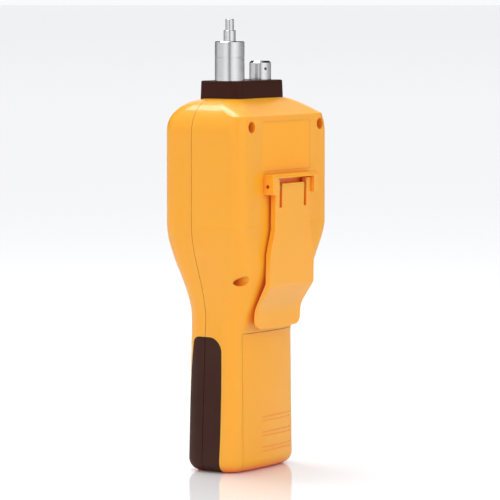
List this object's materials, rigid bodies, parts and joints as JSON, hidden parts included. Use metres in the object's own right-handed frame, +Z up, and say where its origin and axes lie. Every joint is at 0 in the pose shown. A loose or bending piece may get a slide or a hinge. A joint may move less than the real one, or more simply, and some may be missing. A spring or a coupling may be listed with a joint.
{
  "type": "portable gas detector",
  "caption": "Hand-held pumped gas detector with a tapered orange casing, dark grip pads, steel gas fittings, sprung belt clip and sliding battery door.",
  "frame": {"origin": "centre of the flat base that the detector stands on", "axes": "+Z up towards the sampling nozzle, -Y towards the display side, +Y towards the belt clip, +X towards the inlet fitting"},
  "size_m": [0.07, 0.0485, 0.1956],
  "materials": {
    "orange_shell": "fine moulded grain, satin",
    "blank_label": "smooth, matt",
    "grip_rubber": "soft, matt",
    "black_seal": "smooth, matt",
    "amber_seal": "smooth, matt",
    "spring_bronze": "drawn wire",
    "dark_cap": "fine moulded grain",
    "screw_steel": "plated",
    "fitting_steel": "turned and polished",
    "bright_metal": "drawn, satin",
    "red_window": "clear, tinted",
    "filter_white": "sintered, porous",
    "soft_foam": "open foam",
    "display_glass": "polished",
    "display_dark": "polarising film",
    "key_rubber": "silk matt",
    "circuit_green": "solder resist",
    "sensor_white": "moulded",
    "inner_black": "moulded",
    "contact_brass": "plated",
    "clear_hose": "clear silicone",
    "battery_wrap": "shrink sleeve"
  },
  "bodies": {
    "casing": {"front_shell": "orange_shell", "rear_shell": "orange_shell", "rating_label": "blank_label", "seam_gasket": "amber_seal", "fitting_seals": "black_seal", "pump_diaphragm": "black_seal", "grip_pad_front_left": "grip_rubber", "grip_pad_front_right": "grip_rubber", "grip_pad_rear_left": "grip_rubber", "grip_pad_rear_right": "grip_rubber", "shell_screws": "screw_steel", "board_screws": "screw_steel", "clip_pin": "screw_steel", "clip_springs": "spring_bronze", "top_cap": "dark_cap", "display_bezel": "dark_cap", "key_panel": "dark_cap", "alarm_window": "red_window", "alarm_lights": "red_window", "inlet_base": "fitting_steel", "outlet_fitting": "fitting_steel", "display_lens": "display_glass", "lcd_module": "display_dark", "key_switches": "bright_metal", "charging_socket": "bright_metal", "pump_motor": "bright_metal", "vibrator_motor": "bright_metal", "main_board": "circuit_green", "sensor_board": "circuit_green", "gas_sensors": "sensor_white", "sensor_manifold": "inner_black", "pump_head": "inner_black", "battery_tray": "inner_black", "buzzer": "inner_black", "battery_contacts": "contact_brass", "inlet_hose": "clear_hose", "suction_hose": "clear_hose", "exhaust_hose": "clear_hose", "battery_pack": "battery_wrap"},
    "clip": {"belt_clip": "orange_shell"},
    "door": {"battery_door": "orange_shell", "door_foam": "soft_foam"},
    "flap": {"port_flap": "black_seal"},
    "filter_cap": {"inlet_filter_cap": "fitting_steel", "inlet_filter": "filter_white"},
    "eccentric": {"pump_eccentric": "contact_brass"},
    "weight": {"vibrator_weight": "contact_brass"},
    "power_button": {"power_key": "key_rubber"},
    "up_button": {"up_key": "key_rubber"},
    "down_button": {"down_key": "key_rubber"},
    "left_button": {"left_key": "key_rubber"},
    "right_button": {"right_key": "key_rubber"}
  },
  "joints": [
    {"name": "clip_hinge", "type": "hinge", "parent": "casing", "child": "clip", "pos_m": [0, 0.0249, 0.1243], "axis": [1, 0, 0], "range_deg": [0, 20], "stiffness_Nm_per_rad": 0.25, "springref_deg": -8.59, "deforming": ["clip_springs"]},
    {"name": "door_slide", "type": "slide", "parent": "casing", "child": "door", "axis": [0, 0, -1], "range_m": [0, 0.066]},
    {"name": "flap_hinge", "type": "hinge", "parent": "casing", "child": "flap", "pos_m": [-0.035, -0.0072, 0.1165], "axis": [0, -1, 0], "range_deg": [0, 100]},
    {"name": "filter_cap_off", "type": "slide", "parent": "casing", "child": "filter_cap", "axis": [0, 0, 1], "range_m": [0, 0.015]},
    {"name": "pump_shaft", "type": "hinge", "parent": "casing", "child": "eccentric", "pos_m": [-0.024, 0.01, 0.121], "axis": [0, 0, 1], "continuous": true},
    {"name": "vibrator_shaft", "type": "hinge", "parent": "casing", "child": "weight", "pos_m": [0.009, -0.0083, 0.0086], "axis": [1, 0, 0], "continuous": true},
    {"name": "power_press", "type": "slide", "parent": "casing", "child": "power_button", "axis": [0, 1, 0], "range_m": [0, 0.0008], "stiffness_N_per_m": 600},
    {"name": "up_press", "type": "slide", "parent": "casing", "child": "up_button", "axis": [0, 1, 0], "range_m": [0, 0.0008], "stiffness_N_per_m": 600},
    {"name": "down_press", "type": "slide", "parent": "casing", "child": "down_button", "axis": [0, 1, 0], "range_m": [0, 0.0008], "stiffness_N_per_m": 600},
    {"name": "left_press", "type": "slide", "parent": "casing", "child": "left_button", "axis": [0, 1, 0], "range_m": [0, 0.0008], "stiffness_N_per_m": 600},
    {"name": "right_press", "type": "slide", "parent": "casing", "child": "right_button", "axis": [0, 1, 0], "range_m": [0, 0.0008], "stiffness_N_per_m": 600}
  ]
}
